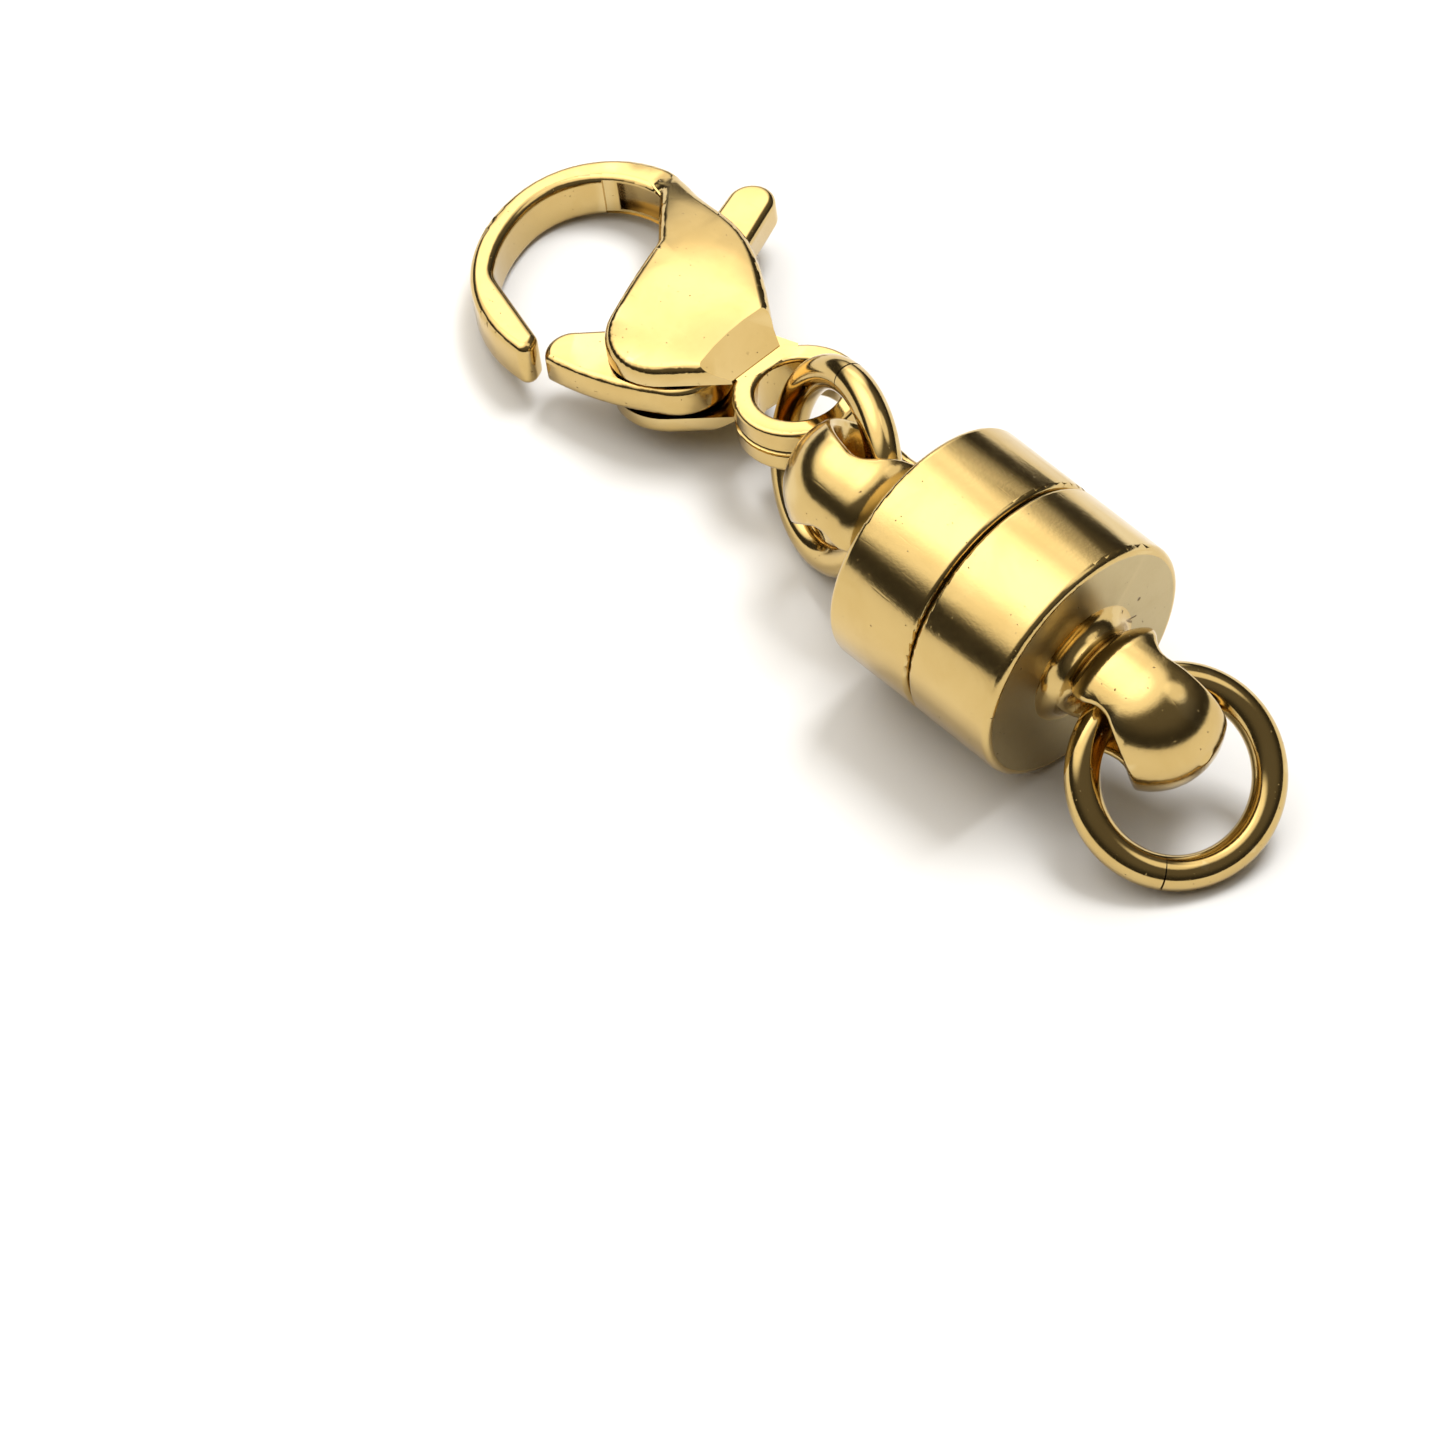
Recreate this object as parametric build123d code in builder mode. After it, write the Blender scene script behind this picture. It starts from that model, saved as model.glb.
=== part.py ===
from build123d import *
from math import acos, asin, atan2, cos, degrees, pi, radians, sin, sqrt
import os

os.makedirs("parts", exist_ok=True)

# A magnetic clasp that lies on a table, in millimetres. X runs along the magnetic
# cylinder, from the claw towards the loose end ring, and Z is up. The origin is the
# point of the table under the middle of the seam between the two halves.

# Magnetic cylinder
cylinder_d = 6.0
half_length = 2.4          # one half, from its rim to its end face
seam_gap = 0.06            # between the two closed rims
rim_round = 0.13
end_round = 0.18
cup_wall = 0.6
cup_floor = 0.7
magnet_fit = 0.04          # radial play of a magnet in its cup
magnet_seat = 0.02         # behind each magnet
magnet_lip = 0.4           # how far the loose half's magnet stands out of its cup
magnet_gap = 0.05          # between the two magnets when closed
magnet_edge = 0.08

# Neck, ball and the hole across it. The ball is a little longer than it is thick
ball_d = 3.26
ball_centre = 4.5          # from the seam to the middle of its round end
ball_belly = 0.8           # length over which it keeps its full thickness
ball_shoulder = 0.75       # how round it is where it narrows to the neck
neck_d = 2.2
neck_root = 0.4            # fillet where the neck meets the end face
neck_blend = 0.25          # fillet where the neck runs into the ball
ball_hole_d = 2.28
ball_hole_shift = 0.28     # the hole sits nearer to the neck than the round end's middle
ball_hole_edge = 0.14
claw_hole_turn = 47.0      # degrees that each hole is turned up from level, seen along X
loose_hole_turn = 16.0
ball_hole_lean = 12.0      # degrees that both holes lean from square to the cylinder

# Jump rings
ring_d = 5.0
wire_d = 0.8
ring_play = 0.15           # left between the wire and the hole that it passes through
cut_width = 0.03           # the hairline where a ring's two ends meet
link_normal = (0.335, 0.884, -0.327)
link_across = 0.219        # parts of the mean radius that each ring's centre lies to the side
eye_along = 0.895           # parts of the mean radius from the ring's centre to the eye
eye_across = 0.371
eye_below = 0.107
link_cut_turn = 250.0
end_normal = (0.577, -0.272, 0.771)
end_across = -0.031
end_cut_turn = 316.0

# Claw: plan sizes from the middle of its eye, with the hook towards -x
eye_d = 3.0
eye_hole_d = 1.96
eye_thick = 1.16
eye_groove = 0.12
eye_round = 0.12
band_thick = 1.18
hook_d = 5.2
hook_centre = (-7.20, 0.72)
hook_top_turn = 100.0       # degrees round the hook where its back begins
hook_low_turn = 180.0      # and where it straightens to the tip
band_width = 0.68          # the hook band, seen in plan
opening_shift = (-0.09, -0.12)   # from the hook's centre to the opening's
open_top_turn = 84.0
open_low_turn = 190.0
tip_outer = (-5.62, -3.05)
tip_inner = (-5.85, -2.49)
tip_round = 0.25
open_corner = (-8.17, -1.70)  # where the opening turns towards the tip
open_corner_round = 0.8
back_points = ((-6.30, 2.98), (-4.65, 2.66), (-2.96, 1.84))
back_end = (-1.62, 0.86)
back_heading = (0.80, -0.60)
bridge_top_y = 0.72
bridge_low_y = -0.78
neck_points = (            # the flat neck that runs from the plates into the eye
    (-1.90, 0.88),
    (-1.62, 0.90),
    (-1.06, 1.04),
    (-0.93, 0.92),
    (-1.08, -0.70),
    (-1.90, -0.60),
)
lobe_d = 2.74              # rounded end of the plates, over the pivot
lobe_centre = (-3.40, -0.80)
bend = (-5.58, 1.08)       # inner corner between the lobe and the hook
bend_round = 0.6
notch = (-5.20, 0.86)      # tip of the hollow in the rim beside the bend
notch_reach = 0.9
notch_spread = 50.0        # degrees, half the angle of the cone that hollows it
notch_lift = 30.0          # degrees that the cone's axis rises from the plate
ramp_low = (-7.60, 0.54)   # place along the hook and height where the plates rise out of it
ramp_high = (-6.25, 1.07)
fall_high = (-2.15, 1.16)   # and where their other end slopes down to the eye
fall_low = (-1.25, 0.55)
plate_crown = 1.25         # from the middle plane to the top of a plate's dome
plate_edge_drop = 0.24     # how much lower the dome is at the plate's ends
plate_centre = (-3.95, 0.45)
plate_reach = 2.6          # from the dome's middle to a plate's ends
plate_round = 0.26
band_round = 0.2
bridge_end = -1.32

# Slot, lever and pivot
slot_width = 1.0
slot_end = -1.58
slot_top = -6.2
slot_points = (            # how the slot runs from over the hook down past the heel
    (slot_top, 0.60),
    (-5.30, -1.60),
    (-4.90, -2.40),
    (-4.90, -4.00),
    (bridge_end + 0.02, -4.00),
    (bridge_end + 0.02, -0.75),
    (slot_end, -0.45),
)
slot_back_y = 4.6
lever_side_gap = 0.1       # between the lever and each side of the slot
groove_width = 0.8
groove_depth = 0.24
groove_start = 121.0       # degrees round the opening
relief_depth = 0.07
relief_height = 1.0
relief_start = 131.0
pivot = (-3.00, -0.82)
pin_d = 0.7
pin_fit = 0.01             # radial, between pin and plates
pin_play = 0.03            # radial, between pin and lever
pin_cover = 0.2            # metal left over each end of the pin
pin_end_gap = 0.02         # left between each end of the pin and its hole's floor
heel_r = 1.19
nose_top = (-5.43, -1.64)
nose_tip = (-5.71, -2.15)
nose_low = (-5.36, -2.75)
nose_belly = (-3.95, -2.50)
arm_root = (-4.62, -0.88)
arm_waist = (-4.28, -0.28)
arm_knee = (-4.50, 0.75)
arm_left = (-5.78, 2.85)
arm_right = (-4.50, 2.85)
tab_centre = (-5.52, 3.84)
tab_d = 1.14
lever_round = 0.18

# Places that follow from the sizes above
axis_height = cylinder_d / 2
wire_r = wire_d / 2
ring_mean_r = (ring_d - wire_d) / 2
hole_x = ball_centre - ball_hole_shift
hole_slack = ball_hole_d / 2 - wire_r - ring_play
rim_x = seam_gap / 2
end_x = rim_x + half_length
cup_r = cylinder_d / 2 - cup_wall
magnet_r = cup_r - magnet_fit
lever_thick = slot_width - 2 * lever_side_gap


def turned(centre, radius, angle):
    """The point of a circle at that angle in degrees."""
    return (centre[0] + radius * cos(radians(angle)), centre[1] + radius * sin(radians(angle)))


def tangent_angle(centre, radius, point, side):
    """Where a line from point touches the circle, as an angle in degrees."""
    across = point[0] - centre[0]
    along = point[1] - centre[1]
    reach = sqrt(across**2 + along**2)
    return degrees(atan2(along, across) + side * acos(radius / reach))


def resting_height(normal):
    """How high a ring's centre is when the ring leans on the table."""
    return wire_r + ring_mean_r * sqrt(1 - normal[2] ** 2)


def unit(vector):
    length = sqrt(sum(part**2 for part in vector))
    return tuple(part / length for part in vector)


# Each ring passes through its ball's hole and leans on the table
link_normal = unit(link_normal)
end_normal = unit(end_normal)
ring_offset = hole_x - hole_slack
link_centre = (
    -ring_offset - ring_mean_r * sqrt(1 - link_normal[0] ** 2),
    ring_mean_r * link_across,
    resting_height(link_normal),
)
end_centre = (
    ring_offset + ring_mean_r * sqrt(1 - end_normal[0] ** 2),
    ring_mean_r * end_across,
    resting_height(end_normal),
)

# The claw's eye hangs on the link ring and the far end of its hook lies on the table
eye_place = (
    link_centre[0] - ring_mean_r * eye_along,
    link_centre[1] + ring_mean_r * eye_across,
    link_centre[2] - ring_mean_r * eye_below,
)
low_x = hook_d / 2 - hook_centre[0] - band_round
low_z = band_thick / 2 - band_round
claw_pitch = degrees(asin((eye_place[2] - band_round) / sqrt(low_x**2 + low_z**2)) - atan2(low_z, low_x))
claw = Plane(
    origin=eye_place,
    x_dir=(cos(radians(claw_pitch)), 0, sin(radians(claw_pitch))),
    z_dir=(-sin(radians(claw_pitch)), 0, cos(radians(claw_pitch))),
)
cylinder_axis = Axis((0, 0, axis_height), (1, 0, 0))
section = Plane(origin=(0, 0, axis_height), x_dir=(1, 0, 0), z_dir=(0, -1, 0))


def turned_half(side, hole_turn):
    """One steel half: cup, neck and drilled ball, turned in one piece."""
    ball_r = ball_d / 2
    neck_r = neck_d / 2
    shoulder = ball_centre - ball_belly
    neck_end = shoulder - sqrt(ball_shoulder**2 - (neck_r - ball_r + ball_shoulder) ** 2)
    half_turn = cos(pi / 4) * ball_shoulder
    square = cos(radians(ball_hole_lean))
    across = (
        side * sin(radians(ball_hole_lean)),
        square * cos(radians(hole_turn)),
        square * sin(radians(hole_turn)),
    )
    with BuildPart() as half:
        with BuildSketch(section):
            with BuildLine():
                Polyline(
                    (side * neck_end, neck_r),
                    (side * end_x, neck_r),
                    (side * end_x, cylinder_d / 2),
                    (side * rim_x, cylinder_d / 2),
                    (side * rim_x, cup_r),
                    (side * (end_x - cup_floor), cup_r),
                    (side * (end_x - cup_floor), 0),
                    (side * (ball_centre + ball_r), 0),
                )
                ThreePointArc(
                    (side * (ball_centre + ball_r), 0),
                    (side * (ball_centre + ball_r * cos(pi / 4)), ball_r * sin(pi / 4)),
                    (side * ball_centre, ball_r),
                )
                Line((side * ball_centre, ball_r), (side * shoulder, ball_r))
                ThreePointArc(
                    (side * shoulder, ball_r),
                    (side * (shoulder - half_turn), ball_r - ball_shoulder + half_turn),
                    (side * neck_end, neck_r),
                )
            make_face()
        revolve(axis=cylinder_axis)
        circles = half.edges().filter_by(GeomType.CIRCLE)
        outer = circles.filter_by(lambda edge: abs(edge.radius - cylinder_d / 2) < 1e-6)
        necks = circles.filter_by(lambda edge: abs(edge.radius - neck_r) < 1e-6)
        outer = outer.sort_by(lambda edge: abs(edge.arc_center.X))
        necks = necks.sort_by(lambda edge: abs(edge.arc_center.X))
        fillet(outer[0], rim_round)
        fillet(outer[-1], end_round)
        fillet(necks[0], neck_root)
        fillet(necks[-1], neck_blend)
        with Locations(Plane(origin=(side * hole_x, 0, axis_height), z_dir=across)):
            Cylinder(ball_hole_d / 2, 2 * ball_d, mode=Mode.SUBTRACT)
        bores = half.faces().filter_by(GeomType.CYLINDER)
        bore = bores.sort_by(lambda face: abs(abs(face.center().X) - hole_x))[0]
        fillet(bore.edges().filter_by(GeomType.BSPLINE), ball_hole_edge)
    return half


def magnet_disc(side, lip):
    """A plain magnet glued into one half. It stands out of the cup by lip."""
    inner = rim_x - lip
    outer = end_x - cup_floor - magnet_seat
    with BuildPart() as magnet:
        with BuildSketch(section):
            with Locations((side * (inner + outer) / 2, magnet_r / 2)):
                Rectangle(outer - inner, magnet_r)
        revolve(axis=cylinder_axis)
        rims = magnet.edges().filter_by(GeomType.CIRCLE)
        chamfer(rims, magnet_edge)
    return magnet


def jump_ring(centre, normal, cut_turn):
    """A round-wire ring with the hairline where its ends meet."""
    place = Plane(origin=centre, z_dir=normal).location * Location((0, 0, 0), (0, 0, cut_turn))
    with BuildPart() as ring:
        with Locations(place):
            Torus(ring_mean_r, wire_r)
        with Locations(place * Location((ring_mean_r, 0, 0))):
            Box(2 * wire_d, cut_width, 2 * wire_d, mode=Mode.SUBTRACT)
    return ring


# The two turned halves and their magnets
half_a = turned_half(-1, claw_hole_turn)
half_a.part.label = "claw_half"
export_step(half_a.part, "parts/claw_half.step")

half_b = turned_half(1, loose_hole_turn)
half_b.part.label = "loose_half"
export_step(half_b.part, "parts/loose_half.step")

magnet_a = magnet_disc(-1, -magnet_lip - magnet_gap + seam_gap)
magnet_a.part.label = "claw_magnet"
export_step(magnet_a.part, "parts/claw_magnet.step")

magnet_b = magnet_disc(1, magnet_lip)
magnet_b.part.label = "loose_magnet"
export_step(magnet_b.part, "parts/loose_magnet.step")

# The two jump rings
link_ring = jump_ring(link_centre, link_normal, link_cut_turn)
link_ring.part.label = "link_ring"
export_step(link_ring.part, "parts/link_ring.step")

end_ring = jump_ring(end_centre, end_normal, end_cut_turn)
end_ring.part.label = "end_ring"
export_step(end_ring.part, "parts/end_ring.step")

# Claw outline: hook, back, bridge to the eye, lobe over the pivot and the inner bend
hook_r = hook_d / 2
opening_r = hook_r - band_width
opening_centre = (hook_centre[0] + opening_shift[0], hook_centre[1] + opening_shift[1])
lobe_r = lobe_d / 2
hook_low = turned(hook_centre, hook_r, hook_low_turn)
hook_low_heading = (-sin(radians(hook_low_turn)), cos(radians(hook_low_turn)))
hook_top = turned(hook_centre, hook_r, hook_top_turn)
back_headings = ((sin(radians(hook_top_turn)), -cos(radians(hook_top_turn))), back_heading)
open_low = turned(opening_centre, opening_r, open_low_turn)
open_low_heading = (-sin(radians(open_low_turn)), cos(radians(open_low_turn)))
open_top = turned(opening_centre, opening_r, open_top_turn)
open_end = turned(opening_centre, opening_r, hook_top_turn)
bridge_low = (bridge_end, bridge_low_y)
bridge_top = (bridge_end, bridge_top_y)
lobe_start = tangent_angle(lobe_centre, lobe_r, bridge_low, -1)
lobe_stop = tangent_angle(lobe_centre, lobe_r, bend, 1) - 360
dome_r = (plate_reach**2 + plate_edge_drop**2) / (2 * plate_edge_drop)


def dome_height(point):
    """How high a plate's dome is over the middle plane at a plan point."""
    across = point[0] - plate_centre[0]
    along = point[1] - plate_centre[1]
    return plate_crown - dome_r + sqrt(dome_r**2 - across**2 - along**2)


def nearest(corners, point):
    """The vertex of a flat sketch nearest to a plan point."""
    return corners.sort_by(lambda corner: abs(corner.X - point[0]) + abs(corner.Y - point[1]))[0]


def plan(shape):
    """The middle of an edge in the claw's own frame."""
    return claw.to_local_coords(shape.center())


upright = Axis(claw.origin, claw.z_dir)
pin_length = 2 * (dome_height(pivot) - pin_cover)

# The two plates, one solid until the slot parts them
with BuildPart() as plates:
    with BuildSketch(claw) as plate_face:
        with BuildLine():
            Spline(hook_top, *back_points, back_end, tangents=back_headings)
            Polyline(back_end, bridge_top, bridge_low, turned(lobe_centre, lobe_r, lobe_start))
            CenterArc(lobe_centre, lobe_r, lobe_start, lobe_stop - lobe_start)
            Polyline(turned(lobe_centre, lobe_r, lobe_stop), bend, open_top)
            CenterArc(opening_centre, opening_r, open_top_turn, hook_top_turn - open_top_turn)
            Line(open_end, hook_top)
        make_face()
        fillet(nearest(plate_face.vertices(), bend), bend_round)
    extrude(amount=2 * plate_crown, both=True)
    for side in (-1, 1):
        sunk = (plate_centre[0], plate_centre[1], side * (plate_crown - dome_r))
        sunk = claw.from_local_coords(sunk)
        with Locations(Plane(origin=sunk, x_dir=claw.x_dir, z_dir=claw.y_dir)):
            Sphere(dome_r, mode=Mode.INTERSECT)
    rims = plates.edges().filter_by(lambda edge: abs(plan(edge).Z) > band_thick / 2)
    fillet(rims, plate_round)
    for side in (-1, 1):
        # the plates rise out of the hook along a ramp and slope down to the eye
        with BuildSketch(Plane(origin=claw.origin, x_dir=claw.x_dir, z_dir=-claw.y_dir)):
            with BuildLine():
                Polyline(
                    (ramp_low[0], side * ramp_low[1]),
                    (ramp_high[0], side * ramp_high[1]),
                    (ramp_high[0], side * 2 * plate_crown),
                    (ramp_low[0] - band_thick, side * 2 * plate_crown),
                    (ramp_low[0] - band_thick, side * ramp_low[1]),
                    close=True,
                )
            make_face()
            with BuildLine():
                Polyline(
                    (fall_high[0], side * fall_high[1]),
                    (fall_low[0], side * fall_low[1]),
                    (0, side * fall_low[1]),
                    (0, side * 2 * plate_crown),
                    (fall_high[0], side * 2 * plate_crown),
                    close=True,
                )
            make_face()
        extrude(amount=2 * hook_d, both=True, mode=Mode.SUBTRACT)
        # a hollow runs from the rim down into the bend
        tip = claw.from_local_coords((notch[0], notch[1], side * dome_height(notch)))
        run = claw.x_dir * -cos(radians(notch_lift)) + claw.z_dir * side * sin(radians(notch_lift))
        with Locations(Plane(origin=tip, z_dir=run)):
            Cone(
                0,
                notch_reach * sin(radians(notch_spread)) / cos(radians(notch_spread)),
                notch_reach,
                align=(Align.CENTER, Align.CENTER, Align.MIN),
                mode=Mode.SUBTRACT,
            )

# The hook is one band of metal, bent round and widened a little to its tip
with BuildPart() as hook:
    with BuildSketch(claw.offset(-band_thick / 2)) as hook_face:
        with BuildLine():
            Spline(hook_top, *back_points, back_end, tangents=back_headings)
            Line(back_end, open_top)
            CenterArc(opening_centre, opening_r, open_top_turn, open_low_turn - open_top_turn)
            TangentArc(open_low, open_corner, tangent=open_low_heading)
            Polyline(open_corner, tip_inner, tip_outer)
            TangentArc(hook_low, tip_outer, tangent=hook_low_heading)
            CenterArc(hook_centre, hook_r, hook_top_turn, hook_low_turn - hook_top_turn)
        make_face()
        fillet(nearest(hook_face.vertices(), open_corner), open_corner_round)
        for corner in (tip_inner, tip_outer):
            fillet(nearest(hook_face.vertices(), corner), tip_round)
    extrude(amount=band_thick)
    rims = hook.faces().filter_by(upright).edges()
    fillet(rims.filter_by(lambda edge: plan(edge).X < plate_centre[0] - opening_r), band_round)

# The eye, with a groove round its middle
with BuildPart() as eye:
    with BuildSketch(Plane(origin=claw.origin, x_dir=claw.x_dir, z_dir=-claw.y_dir)) as eye_section:
        with Locations(((eye_d + eye_hole_d) / 4, 0)):
            RectangleRounded((eye_d - eye_hole_d) / 2, eye_thick, eye_round)
        with Locations((eye_d / 2, 0)):
            Circle(eye_groove, mode=Mode.SUBTRACT)
    revolve(axis=Axis(claw.origin, claw.z_dir))

with BuildPart() as claw_body:
    add(plates.part)
    add(hook.part)
    add(eye.part)
    with BuildSketch(claw.offset(-eye_thick / 2)):
        with BuildLine():
            Polyline(*neck_points, close=True)
        make_face()
    extrude(amount=eye_thick)
    # the slot that the lever works in, open to the hook's opening
    with BuildSketch(claw.offset(-slot_width / 2)):
        with BuildLine():
            Polyline((slot_end, slot_back_y), (slot_top, slot_back_y), *slot_points, close=True)
        make_face()
        with Locations(opening_centre):
            Circle(opening_r)
    extrude(amount=slot_width, mode=Mode.SUBTRACT)
    # the eye's hole stays open where the plates run up to it
    with Locations(claw):
        Cylinder(eye_hole_d / 2, band_thick, mode=Mode.SUBTRACT)
    # the spring's groove and the relief in the wall of the opening
    for radius, height, start in (
        (opening_r + groove_depth, groove_width, groove_start),
        (opening_r + relief_depth, relief_height, relief_start),
    ):
        with BuildSketch(claw.offset(-height / 2)):
            with BuildLine():
                CenterArc(opening_centre, radius, open_top_turn, start - open_top_turn)
                Polyline(
                    turned(opening_centre, radius, start),
                    opening_centre,
                    turned(opening_centre, radius, open_top_turn),
                )
            make_face()
        extrude(amount=height, mode=Mode.SUBTRACT)
    with Locations(Plane(origin=claw.from_local_coords((*pivot, 0)), z_dir=claw.z_dir)):
        Cylinder(pin_d / 2 + pin_fit, pin_length, mode=Mode.SUBTRACT)
claw_body.part.label = "claw_body"
export_step(claw_body.part, "parts/claw_body.step")

with BuildPart() as pivot_pin:
    with Locations(Plane(origin=claw.from_local_coords((*pivot, 0)), z_dir=claw.z_dir)):
        Cylinder(pin_d / 2, pin_length - 2 * pin_end_gap)
pivot_pin.part.label = "pivot_pin"
export_step(pivot_pin.part, "parts/pivot_pin.step")

# The lever: nose, heel round the pivot, arm and thumb tab
tab_r = tab_d / 2
heel_low = tangent_angle(pivot, heel_r, nose_belly, 1)
heel_high = tangent_angle(pivot, heel_r, arm_right, -1)
tab_right = tangent_angle(tab_centre, tab_r, arm_right, 1)
tab_left = tangent_angle(tab_centre, tab_r, arm_left, -1) + 360
with BuildPart() as lever:
    with BuildSketch(claw.offset(-lever_thick / 2)) as lever_face:
        with BuildLine():
            ThreePointArc(nose_top, nose_tip, nose_low)
            Spline(nose_low, nose_belly, turned(pivot, heel_r, heel_low))
            CenterArc(pivot, heel_r, heel_low, heel_high - heel_low)
            Polyline(turned(pivot, heel_r, heel_high), arm_right, turned(tab_centre, tab_r, tab_right))
            CenterArc(tab_centre, tab_r, tab_right, tab_left - tab_right)
            Polyline(
                turned(tab_centre, tab_r, tab_left), arm_left, arm_knee, arm_waist, arm_root, nose_top
            )
        make_face()
    extrude(amount=lever_thick)
    flats = lever.faces().filter_by(upright)
    fillet(flats.edges(), lever_round)
    with Locations(Plane(origin=claw.from_local_coords((*pivot, 0)), z_dir=claw.z_dir)):
        Cylinder(pin_d / 2 + pin_play, band_thick, mode=Mode.SUBTRACT)
lever.part.label = "trigger_lever"
export_step(lever.part, "parts/trigger_lever.step")
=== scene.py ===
import math

import bmesh
import bpy
from mathutils import Matrix, Vector


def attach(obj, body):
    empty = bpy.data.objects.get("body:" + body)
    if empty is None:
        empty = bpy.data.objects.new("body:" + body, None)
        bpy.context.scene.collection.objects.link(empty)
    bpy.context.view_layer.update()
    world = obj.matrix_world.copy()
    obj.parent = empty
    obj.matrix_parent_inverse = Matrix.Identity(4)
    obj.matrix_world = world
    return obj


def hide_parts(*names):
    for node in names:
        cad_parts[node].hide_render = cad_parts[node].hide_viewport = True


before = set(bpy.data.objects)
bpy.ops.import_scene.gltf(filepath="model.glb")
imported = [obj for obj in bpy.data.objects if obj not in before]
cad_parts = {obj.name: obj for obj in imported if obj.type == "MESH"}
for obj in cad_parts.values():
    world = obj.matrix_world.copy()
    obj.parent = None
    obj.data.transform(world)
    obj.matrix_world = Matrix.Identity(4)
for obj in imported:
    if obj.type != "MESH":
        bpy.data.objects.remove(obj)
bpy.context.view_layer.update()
scene = bpy.context.scene
MM = 0.001


# Camera: long lens, looking down on the clasp from the side of the loose ring
camera_turn = math.radians(45.5)
camera_rise = math.radians(51.7)
camera_target = Vector((-3.84, -4.79, -0.49)) * MM
camera_distance = 214.3 * MM
camera_back = Vector((
    math.sin(camera_turn) * math.cos(camera_rise),
    -math.cos(camera_turn) * math.cos(camera_rise),
    math.sin(camera_rise),
))
camera_data = bpy.data.cameras.new("camera")
camera_data.lens = 242.6
camera_data.sensor_width = 36.0
camera_data.clip_start = 0.02
camera_data.clip_end = 20.0
camera = bpy.data.objects.new("camera", camera_data)
scene.collection.objects.link(camera)
camera.location = camera_target + camera_back * camera_distance
camera.rotation_euler = (-camera_back).to_track_quat("-Z", "Y").to_euler()
scene.camera = camera


class Socket:
    """A shader value that can be written in ordinary sums."""

    def __init__(self, shader, link):
        self.shader = shader
        self.link = link

    def sum(self, operation, *values, clamp=False):
        return self.shader.node("ShaderNodeMath", {"operation": operation, "use_clamp": clamp}, values)

    def __add__(self, other):
        return self.sum("ADD", self, other)

    def __radd__(self, other):
        return self.sum("ADD", other, self)

    def __sub__(self, other):
        return self.sum("SUBTRACT", self, other)

    def __rsub__(self, other):
        return self.sum("SUBTRACT", other, self)

    def __mul__(self, other):
        return self.sum("MULTIPLY", self, other)

    def __rmul__(self, other):
        return self.sum("MULTIPLY", other, self)

    def __truediv__(self, other):
        return self.sum("DIVIDE", self, other)

    def __rtruediv__(self, other):
        return self.sum("DIVIDE", other, self)

    def __abs__(self):
        return self.sum("ABSOLUTE", self)

    def clamp(self):
        return self.sum("ADD", self, 0.0, clamp=True)

    def larger(self, other):
        return self.sum("MAXIMUM", self, other)

    def step(self, start, stop):
        """0 below start, 1 above stop, with a smooth rise between."""
        return self.shader.node(
            "ShaderNodeMapRange",
            {"interpolation_type": "SMOOTHSTEP"},
            {"Value": self, "From Min": start, "From Max": stop},
        )


class Nodes:
    """A tree of shader nodes."""

    def __init__(self, tree):
        self.tree = tree

    def put(self, socket, value):
        if isinstance(value, Socket):
            self.tree.links.new(value.link, socket)
        else:
            socket.default_value = value

    def node(self, kind, settings=None, values=(), out=0):
        """Adds a node: its settings first, then the values or links of its sockets."""
        made = self.tree.nodes.new(kind)
        for key, value in (settings or {}).items():
            setattr(made, key, value)
        items = values.items() if isinstance(values, dict) else enumerate(values)
        for key, value in items:
            self.put(made.inputs[key], value)
        return Socket(self, made.outputs[out])

    def place(self, turn=(0, 0, 0), stretch=(1, 1, 1), shift=(0, 0, 0)):
        """Object coordinates in millimetres, turned and stretched."""
        where = self.node("ShaderNodeTexCoord", out="Object")
        scale = tuple(part / MM for part in stretch)
        return self.node("ShaderNodeMapping", {}, {
            "Vector": where, "Location": shift, "Rotation": turn, "Scale": scale,
        })

    def noise(self, where, scale, detail=3.0, roughness=0.5, distortion=0.0):
        return self.node("ShaderNodeTexNoise", {}, {
            "Vector": where, "Scale": scale, "Detail": detail,
            "Roughness": roughness, "Distortion": distortion,
        })

    def mix(self, factor, first, second, blend="MIX"):
        """Mixes two colours."""
        made = self.tree.nodes.new("ShaderNodeMix")
        made.data_type = "RGBA"
        made.blend_type = blend
        self.put(made.inputs["Factor"], factor)
        for index, value in ((6, first), (7, second)):
            self.put(made.inputs[index], value if isinstance(value, Socket) else (*value, 1.0))
        return Socket(self, made.outputs[2])

    def vector(self, operation, *values, out="Vector"):
        return self.node("ShaderNodeVectorMath", {"operation": operation}, values, out=out)

    def pit(self, where, middle, radius):
        """1 within radius millimetres of a point, fading to 0 outside."""
        distance = self.vector("DISTANCE", where, middle, out="Value")
        return 1.0 - distance.step(radius * 0.6, radius * 1.3)

    def stroke(self, where, start, stop, width):
        """1 along a straight scratch between two points, fading to 0 beside it."""
        line = Vector(stop) - Vector(start)
        offset = self.vector("SUBTRACT", where, start)
        along = (self.vector("DOT_PRODUCT", offset, line, out="Value") / line.length_squared).clamp()
        nearest = self.node(
            "ShaderNodeVectorMath", {"operation": "SCALE"}, {"Vector": line, "Scale": along},
        )
        distance = self.vector("DISTANCE", offset, nearest, out="Value")
        return 1.0 - distance.step(width * 0.4, width)

    def bump(self, height):
        """A normal for a height in millimetres."""
        return self.node("ShaderNodeBump", {}, {"Height": height, "Distance": MM, "Strength": 1.0})


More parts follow.
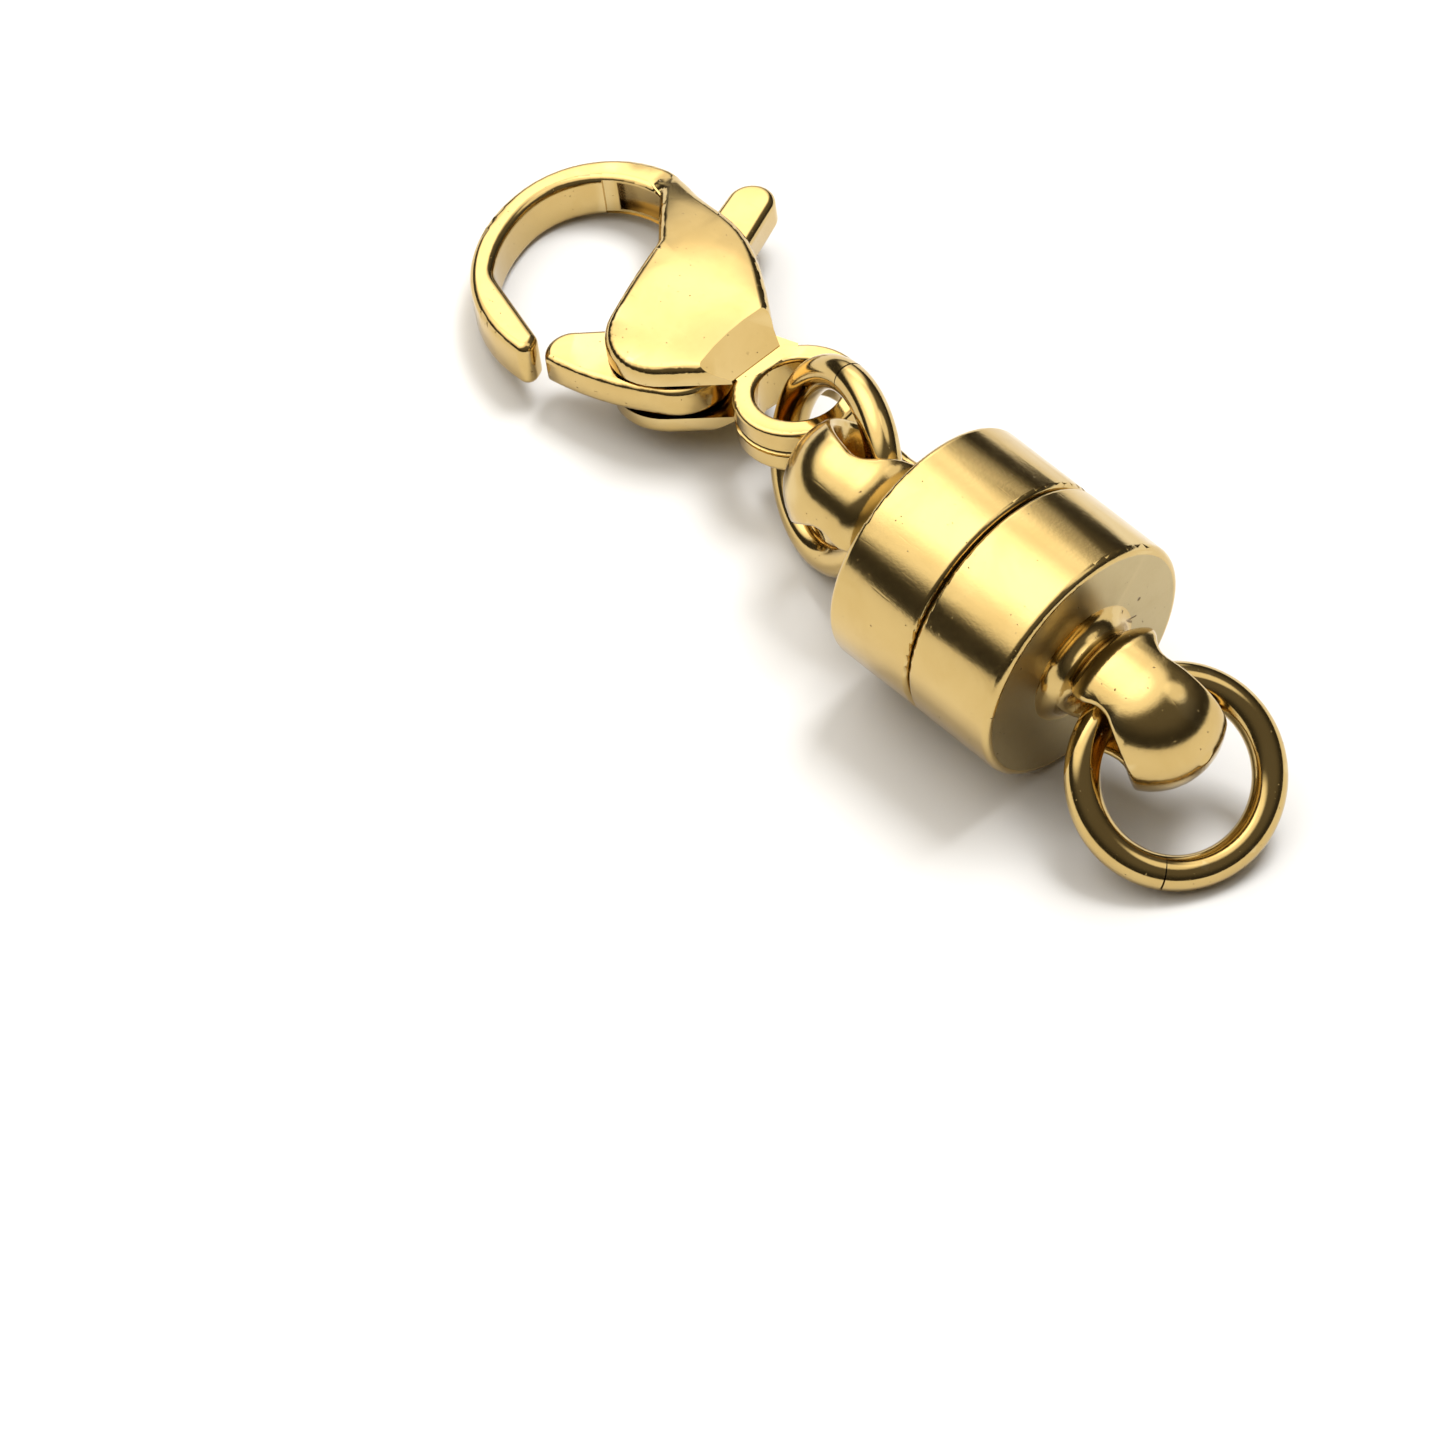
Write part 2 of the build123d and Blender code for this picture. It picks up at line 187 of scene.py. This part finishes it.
class Finish(Nodes):
    """One material, on the principled shader."""

    def __init__(self, name):
        self.material = bpy.data.materials.new(name)
        self.material.use_nodes = True
        super().__init__(self.material.node_tree)
        self.tree.nodes.clear()
        output = self.tree.nodes.new("ShaderNodeOutputMaterial")
        self.surface = self.tree.nodes.new("ShaderNodeBsdfPrincipled")
        self.tree.links.new(self.surface.outputs["BSDF"], output.inputs["Surface"])

    def set(self, **values):
        for key, value in values.items():
            self.put(self.surface.inputs[key.replace("_", " ")], value)
        return self.material


# Colours of the finishes
plating = (0.57, 0.412, 0.165)
plating_pale = (0.68, 0.54, 0.28)
plating_deep = (0.47, 0.315, 0.10)
plating_dull = (0.42, 0.345, 0.185)
# Dark brown painted as shade into hollows and creases, and also laid into pits, dents and scratches
shade_and_pit_dark = (0.10, 0.055, 0.02)
nickel_bright = (0.66, 0.63, 0.58)
nickel_dull = (0.50, 0.46, 0.40)
paper_white = (0.66, 0.655, 0.65)


def hairlines(shader, turn, seed):
    """Sparse short polishing scratches in one direction, as a mask."""
    where = shader.place(turn=turn, stretch=(0.55, 9.0, 1.5), shift=(seed, seed * 1.7, seed * 0.6))
    return shader.noise(where, 1.0, detail=2.0, roughness=0.6).step(0.68, 0.76)


def edge_wear_and_hollow_shade(shader):
    """Masks of the edges, where plating is rubbed pale, and of the hollows, where shade is painted dark.
    """
    edge = shader.node("ShaderNodeNewGeometry", out="Pointiness")
    return edge.step(0.53, 0.62), 1.0 - edge.step(0.38, 0.48)


def flat_ends(shader):
    """A mask of the flat faces square to the barrel's axis, from each triangle's own normal."""
    flat = shader.node("ShaderNodeNewGeometry", out="True Normal")
    facing = shader.node(
        "ShaderNodeVectorTransform",
        {"vector_type": "NORMAL", "convert_from": "WORLD", "convert_to": "OBJECT"},
        {"Vector": flat},
    )
    barrel_axis = (1, 0, 0)
    return abs(shader.vector("DOT_PRODUCT", facing, barrel_axis, out="Value")).step(0.999, 0.9999)


def gold(name, ripple, ripple_scale, satin, scratches, seed, pits=()):
    """Mirror-polished yellow-gold plating with faint waves, hairlines and wear."""
    shader = Finish(name)
    where = shader.place(shift=(seed, seed * 2.0, seed * 3.0))
    waves = shader.noise(where, ripple_scale, detail=2.0, roughness=0.45)
    orange_peel = shader.noise(where, 4.0, detail=2.0, roughness=0.55)
    grain = shader.noise(where, 24.0, detail=2.0, roughness=0.7)
    clouds = shader.noise(where, 0.9, detail=4.0, roughness=0.6, distortion=0.4)
    scratch = hairlines(shader, (0.4, 0.2, 0.7), seed)
    scratch = scratch.larger(hairlines(shader, (1.3, 0.5, -0.6), seed + 4.0))
    pores = shader.noise(where, 12.0, detail=1.0).step(0.76, 0.80)
    for middle, radius in pits:
        pores = pores.larger(shader.pit(shader.place(), middle, radius))
    worn, painted_hollow_shade = edge_wear_and_hollow_shade(shader)
    colour = shader.mix(clouds.step(0.35, 0.7) * 0.30, plating, plating_deep)
    colour = shader.mix(worn * 0.4, colour, plating_pale)
    # Painted shade: hollows and creases are darkened towards dark brown; pits and scratches get the same
    # dark brown
    colour = shader.mix(painted_hollow_shade * 0.7, colour, shade_and_pit_dark)
    colour = shader.mix(pores * 0.6, colour, shade_and_pit_dark)
    rough = satin + clouds.step(0.4, 0.8) * 0.04 + grain.step(0.4, 0.8) * 0.04
    rough = rough + scratch * (0.06 * scratches) + pores * 0.25 + painted_hollow_shade * 0.15
    height = waves * ripple + orange_peel * (ripple * 0.10) + grain * 0.0004
    height = height - scratch * (0.0012 * scratches) - pores * 0.010
    return shader.set(
        Base_Color=colour,
        Metallic=1.0,
        Roughness=rough.clamp(),
        Normal=shader.bump(height),
    )


def turned_gold(name, seed, dents=(), strokes=()):
    """Gold-plated turned steel: fine grain, faint rings round the barrel's axis, duller flat ends."""
    shader = Finish(name)
    where = shader.place(shift=(seed, 0, 0))
    along = shader.place(stretch=(9.0, 0.05, 0.05), shift=(seed, 0, 0))
    rings = shader.noise(along, 1.0, detail=3.0, roughness=0.65)
    waves = shader.noise(where, 0.35, detail=1.5, roughness=0.4)
    clouds = shader.noise(where, 0.8, detail=4.0, roughness=0.62, distortion=0.5)
    grain = shader.noise(where, 13.0, detail=3.0, roughness=0.7)
    scratch = hairlines(shader, (0.1, 0.9, 0.4), seed + 2.0)
    scratch = scratch.larger(hairlines(shader, (0.8, 0.1, 1.4), seed + 7.0))
    pores = shader.noise(where, 10.0, detail=1.0).step(0.77, 0.81)
    for middle, radius in dents:
        pores = pores.larger(shader.pit(shader.place(), middle, radius))
    for start, stop in strokes:
        pores = pores.larger(shader.stroke(shader.place(), start, stop, stroke_width))
    end_face = flat_ends(shader)
    worn, painted_hollow_shade = edge_wear_and_hollow_shade(shader)
    colour = shader.mix(clouds.step(0.35, 0.75) * 0.35, plating, plating_deep)
    colour = shader.mix(end_face * 0.8, colour, plating_dull)
    colour = shader.mix(worn * 0.4, colour, plating_pale)
    # Painted shade: hollows and creases are darkened towards dark brown; pits, dents and scratches get
    # the same dark brown
    colour = shader.mix(painted_hollow_shade * 0.7, colour, shade_and_pit_dark)
    colour = shader.mix(pores * 0.7, colour, shade_and_pit_dark)
    rough = 0.13 + grain.step(0.4, 0.75) * 0.05 + clouds.step(0.4, 0.8) * 0.04
    rough = rough + scratch * 0.05 + pores * 0.2
    rough = rough + end_face * (0.16 + clouds.step(0.4, 0.8) * 0.05)
    height = waves * 0.010 + rings * 0.0006 + grain * 0.0016 - scratch * 0.0008 - pores * 0.012
    return shader.set(
        Base_Color=colour,
        Metallic=1.0,
        Roughness=rough.clamp(),
        Normal=shader.bump(height),
    )


def nickel(name):
    """Satin nickel plating of the magnets."""
    shader = Finish(name)
    where = shader.place()
    clouds = shader.noise(where, 1.2, detail=4.0, roughness=0.6)
    grain = shader.noise(where, 18.0, detail=2.0, roughness=0.7)
    scratch = hairlines(shader, (0.5, 1.1, 0.3), 3.0)
    colour = shader.mix(clouds.step(0.35, 0.7) * 0.5, nickel_bright, nickel_dull)
    rough = 0.24 + grain.step(0.4, 0.7) * 0.08 + scratch * 0.1
    height = clouds * 0.004 + grain * 0.002 - scratch * 0.002
    return shader.set(
        Base_Color=colour,
        Metallic=1.0,
        Roughness=rough.clamp(),
        Normal=shader.bump(height),
    )


# Casting pits between the claw's plates and its eye: middle and radius, in millimetres
casting_pits = (
    ((-9.11, 1.22, 2.72), 0.075),
    ((-8.93, 0.86, 2.66), 0.05),
    ((-8.86, 0.72, 2.62), 0.06),
    ((-8.90, 0.60, 2.45), 0.05),
)

# Damage to the flat end of the barrel's loose half, in millimetres
loose_face = 2.43
stroke_width = 0.035


def on_face(across, height):
    """A point of the loose half's flat end."""
    return (loose_face, across, height)


face_dents = ((on_face(1.70, 3.73), 0.05),)
face_scratches = (
    (on_face(0.85, 3.98), on_face(1.48, 3.13)),
    (on_face(0.99, 3.62), on_face(1.47, 2.76)),
    (on_face(1.17, 3.78), on_face(1.07, 3.28)),
    (on_face(1.32, 3.30), on_face(1.62, 3.22)),
)

claw_gold = gold(
    "claw_gold", ripple=0.008, ripple_scale=0.45, satin=0.10, scratches=0.6, seed=1.0, pits=casting_pits,
)
lever_gold = gold("lever_gold", ripple=0.006, ripple_scale=0.8, satin=0.13, scratches=1.0, seed=5.0)
ring_gold = gold("ring_gold", ripple=0.005, ripple_scale=0.9, satin=0.09, scratches=0.8, seed=9.0)
barrel_gold = turned_gold("barrel_gold", seed=2.0)
loose_gold = turned_gold("loose_gold", seed=6.0, dents=face_dents, strokes=face_scratches)
magnet_nickel = nickel("magnet_nickel")


# Mending of the meshes, in metres: points nearer than this are merged, and shorter edges dissolved
solid_weld = 2e-7
solid_sliver = 1e-7
ring_weld = 1e-8

# Edges that turn by fewer degrees than this are shaded smooth
soft_edge = 32.0
crisp_edge = 22.0


def polished(node, name, body, material, edge_limit):
    """A welded copy of a solid that takes its place, smooth over edges under edge_limit degrees."""
    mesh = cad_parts[node].data.copy()
    mesh.name = name
    work = bmesh.new()
    work.from_mesh(mesh)
    bmesh.ops.remove_doubles(work, verts=work.verts, dist=solid_weld)
    bmesh.ops.dissolve_degenerate(work, dist=solid_sliver, edges=work.edges)
    for face in work.faces:
        face.smooth = True
    limit = math.radians(edge_limit)
    for edge in work.edges:
        edge.smooth = len(edge.link_faces) == 2 and edge.calc_face_angle(0.0) < limit
    work.to_mesh(mesh)
    work.free()
    mesh.materials.clear()
    mesh.materials.append(material)
    piece = bpy.data.objects.new(name, mesh)
    scene.collection.objects.link(piece)
    weighted = piece.modifiers.new("weighted normals", "WEIGHTED_NORMAL")
    weighted.mode = "FACE_AREA"
    weighted.weight = 50
    weighted.keep_sharp = True
    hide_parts(node)
    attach(piece, body)


# Jump rings, in millimetres
ring_radius = 2.1
wire_radius = 0.4
ring_cut = 0.03

# Points round the ring and round the wire
ring_steps = 193
wire_steps = 40


def wire_ring_tree(material):
    """Geometry nodes for a jump ring: round wire bent round a circle, with a cut."""
    tree = bpy.data.node_groups.new("wire_ring", "GeometryNodeTree")
    sizes = {}
    for size in ("Ring radius", "Wire radius", "Half cut angle"):
        socket = tree.interface.new_socket(name=size, in_out="INPUT", socket_type="NodeSocketFloat")
        sizes[size] = socket.identifier
    tree.interface.new_socket(name="Geometry", in_out="OUTPUT", socket_type="NodeSocketGeometry")
    given = tree.nodes.new("NodeGroupInput")
    made = tree.nodes.new("NodeGroupOutput")

    def sum_of(operation, first, second):
        node = tree.nodes.new("ShaderNodeMath")
        node.operation = operation
        for socket, value in zip(node.inputs, (first, second)):
            if isinstance(value, float):
                socket.default_value = value
            else:
                tree.links.new(value, socket)
        return node.outputs[0]

    circle = tree.nodes.new("GeometryNodeCurveArc")
    circle.inputs["Resolution"].default_value = ring_steps
    tree.links.new(given.outputs["Ring radius"], circle.inputs["Radius"])
    tree.links.new(given.outputs["Half cut angle"], circle.inputs["Start Angle"])
    both_ends = sum_of("MULTIPLY", given.outputs["Half cut angle"], 2.0)
    tree.links.new(sum_of("SUBTRACT", 2.0 * math.pi, both_ends), circle.inputs["Sweep Angle"])
    wire = tree.nodes.new("GeometryNodeCurvePrimitiveCircle")
    wire.inputs["Resolution"].default_value = wire_steps
    tree.links.new(given.outputs["Wire radius"], wire.inputs["Radius"])
    bent = tree.nodes.new("GeometryNodeCurveToMesh")
    bent.inputs["Fill Caps"].default_value = True
    tree.links.new(circle.outputs["Curve"], bent.inputs["Curve"])
    tree.links.new(wire.outputs["Curve"], bent.inputs["Profile Curve"])
    solid = tree.nodes.new("GeometryNodeRealizeInstances")
    tree.links.new(bent.outputs["Mesh"], solid.inputs["Geometry"])
    dressed = tree.nodes.new("GeometryNodeSetMaterial")
    dressed.inputs["Material"].default_value = material
    tree.links.new(solid.outputs["Geometry"], dressed.inputs["Geometry"])
    tree.links.new(dressed.outputs["Geometry"], made.inputs["Geometry"])
    return tree, sizes


def wire_ring(tree, sizes, node, name, body, centre, normal, cut):
    """A jump ring round centre, lying square to normal, with its cut on the side that cut points to."""
    holder = bpy.data.objects.new(name, bpy.data.meshes.new(name))
    scene.collection.objects.link(holder)
    bend = holder.modifiers.new("wire ring", "NODES")
    bend.node_group = tree
    bend[sizes["Ring radius"]] = ring_radius * MM
    bend[sizes["Wire radius"]] = wire_radius * MM
    bend[sizes["Half cut angle"]] = ring_cut / 2 / ring_radius
    bpy.context.view_layer.update()
    ready = holder.evaluated_get(bpy.context.evaluated_depsgraph_get())
    mesh = bpy.data.meshes.new_from_object(ready)
    holder.modifiers.clear()
    holder.data = mesh
    mesh.name = name
    work = bmesh.new()
    work.from_mesh(mesh)
    bmesh.ops.remove_doubles(work, verts=work.verts, dist=ring_weld)
    bmesh.ops.recalc_face_normals(work, faces=work.faces)
    # The faces along the wire have four corners, and the caps at the cut have more
    for face in work.faces:
        face.smooth = len(face.verts) == 4
    for edge in work.edges:
        edge.smooth = all(len(face.verts) == 4 for face in edge.link_faces)
    work.to_mesh(mesh)
    work.free()
    axis_z = Vector(normal).normalized()
    axis_x = (Vector(cut) - axis_z * axis_z.dot(Vector(cut))).normalized()
    axis_y = axis_z.cross(axis_x)
    place = Matrix((axis_x, axis_y, axis_z)).transposed().to_4x4()
    place.translation = Vector(centre) * MM
    mesh.transform(place)
    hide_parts(node)
    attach(holder, body)


ring_tree, ring_sizes = wire_ring_tree(ring_gold)
wire_ring(
    ring_tree, ring_sizes, "link_ring", "link_loop", "claw_side",
    centre=(-5.6087, 0.4599, 2.3846), normal=(0.3349, 0.8837, -0.3269), cut=(-0.2110, 0.4085, 0.8881),
)
wire_ring(
    ring_tree, ring_sizes, "end_ring", "end_loop", "loose_end",
    centre=(5.3457, -0.0651, 1.7387), normal=(0.5766, -0.2718, 0.7705), cut=(0.4628, -0.6685, -0.5822),
)

# The crease between the claw's plates and its eye stays crisp
for node, name, body, slot, material, edge_limit in (
    ("claw_body", "claw", "claw_side", "gold_claw", claw_gold, crisp_edge),
    ("trigger_lever", "lever", "lever", "gold_claw", lever_gold, soft_edge),
    ("pivot_pin", "pin", "claw_side", "gold_claw", lever_gold, soft_edge),
    ("claw_half", "barrel_claw_side", "claw_side", "gold_barrel", barrel_gold, soft_edge),
    ("loose_half", "barrel_loose_side", "loose_end", "gold_barrel", loose_gold, soft_edge),
    ("claw_magnet", "inner_magnet", "claw_side", "magnet", magnet_nickel, soft_edge),
    ("loose_magnet", "plug_magnet", "magnet_plug", "magnet", magnet_nickel, soft_edge),
):
    polished(node, name, body, material, edge_limit)


# Floor, in metres
reach = 0.6
floor_corners = [(-reach, -reach, 0), (reach, -reach, 0), (reach, reach, 0), (-reach, reach, 0)]
floor_mesh = bpy.data.meshes.new("floor")
floor_mesh.from_pydata(floor_corners, [], [(0, 1, 2, 3)])
floor = bpy.data.objects.new("floor", floor_mesh)
scene.collection.objects.link(floor)
paper = Finish("paper")
paper.set(Base_Color=(*paper_white, 1.0), Roughness=0.8)
floor_mesh.materials.append(paper.material)


# Soft key light, high above the clasp, in metres
right = Vector((math.cos(camera_turn), math.sin(camera_turn), 0.0))
away = Vector((-math.sin(camera_turn), math.cos(camera_turn), 0.0))
up = Vector((0, 0, 1))
key_place = (right * 0.24 + away * 0.34 + up * 0.91) * 0.50
key_light = bpy.data.lights.new("key", "AREA")
key_light.shape = "SQUARE"
key_light.size = 0.20
key_light.energy = 2.4
key_light.color = (0.98, 0.99, 1.0)
key = bpy.data.objects.new("key", key_light)
scene.collection.objects.link(key)
key.location = key_place
key.rotation_euler = (-key_place).to_track_quat("-Z", "Y").to_euler()
key.visible_glossy = False

# The tent round the table: dark walls, a large soft light in its roof and two smaller ones
world = bpy.data.worlds.new("studio")
world.use_nodes = True
tent = Nodes(world.node_tree)
outward = tent.node("ShaderNodeTexCoord", out="Generated")


def towards(way):
    """How nearly a direction points one way: 1 straight at it, 0 square to it."""
    return tent.vector("DOT_PRODUCT", outward, Vector(way).normalized(), out="Value")


def tinted(level, red, green, blue):
    """A grey level turned into a colour."""
    return tent.node("ShaderNodeCombineColor", {}, (level * red, level * green, level * blue))


rise = towards((0, 0, 1))
roof = towards((-0.50, -0.12, 0.86))
side = towards((-0.70, 0.55, 0.45))
patch = towards((0.31, 0.43, 0.85))
glow = (roof.step(0.60, 0.80) * 1.55 + roof.step(0.84, 1.0) * 1.70) * rise.step(0.32, 0.46)
glow = glow + side.step(0.90, 0.99) * 1.4 + patch.step(0.94, 0.985) * 1.2
wall = rise.step(0.20, 0.70) * 0.12 + 0.045
light = tent.mix(1.0, tinted(wall, 1.0, 0.90, 0.74), tinted(glow, 1.0, 0.965, 0.90), "ADD")
tent.put(world.node_tree.nodes["Background"].inputs["Color"], light)
scene.world = world
scene.view_settings.view_transform = "Standard"
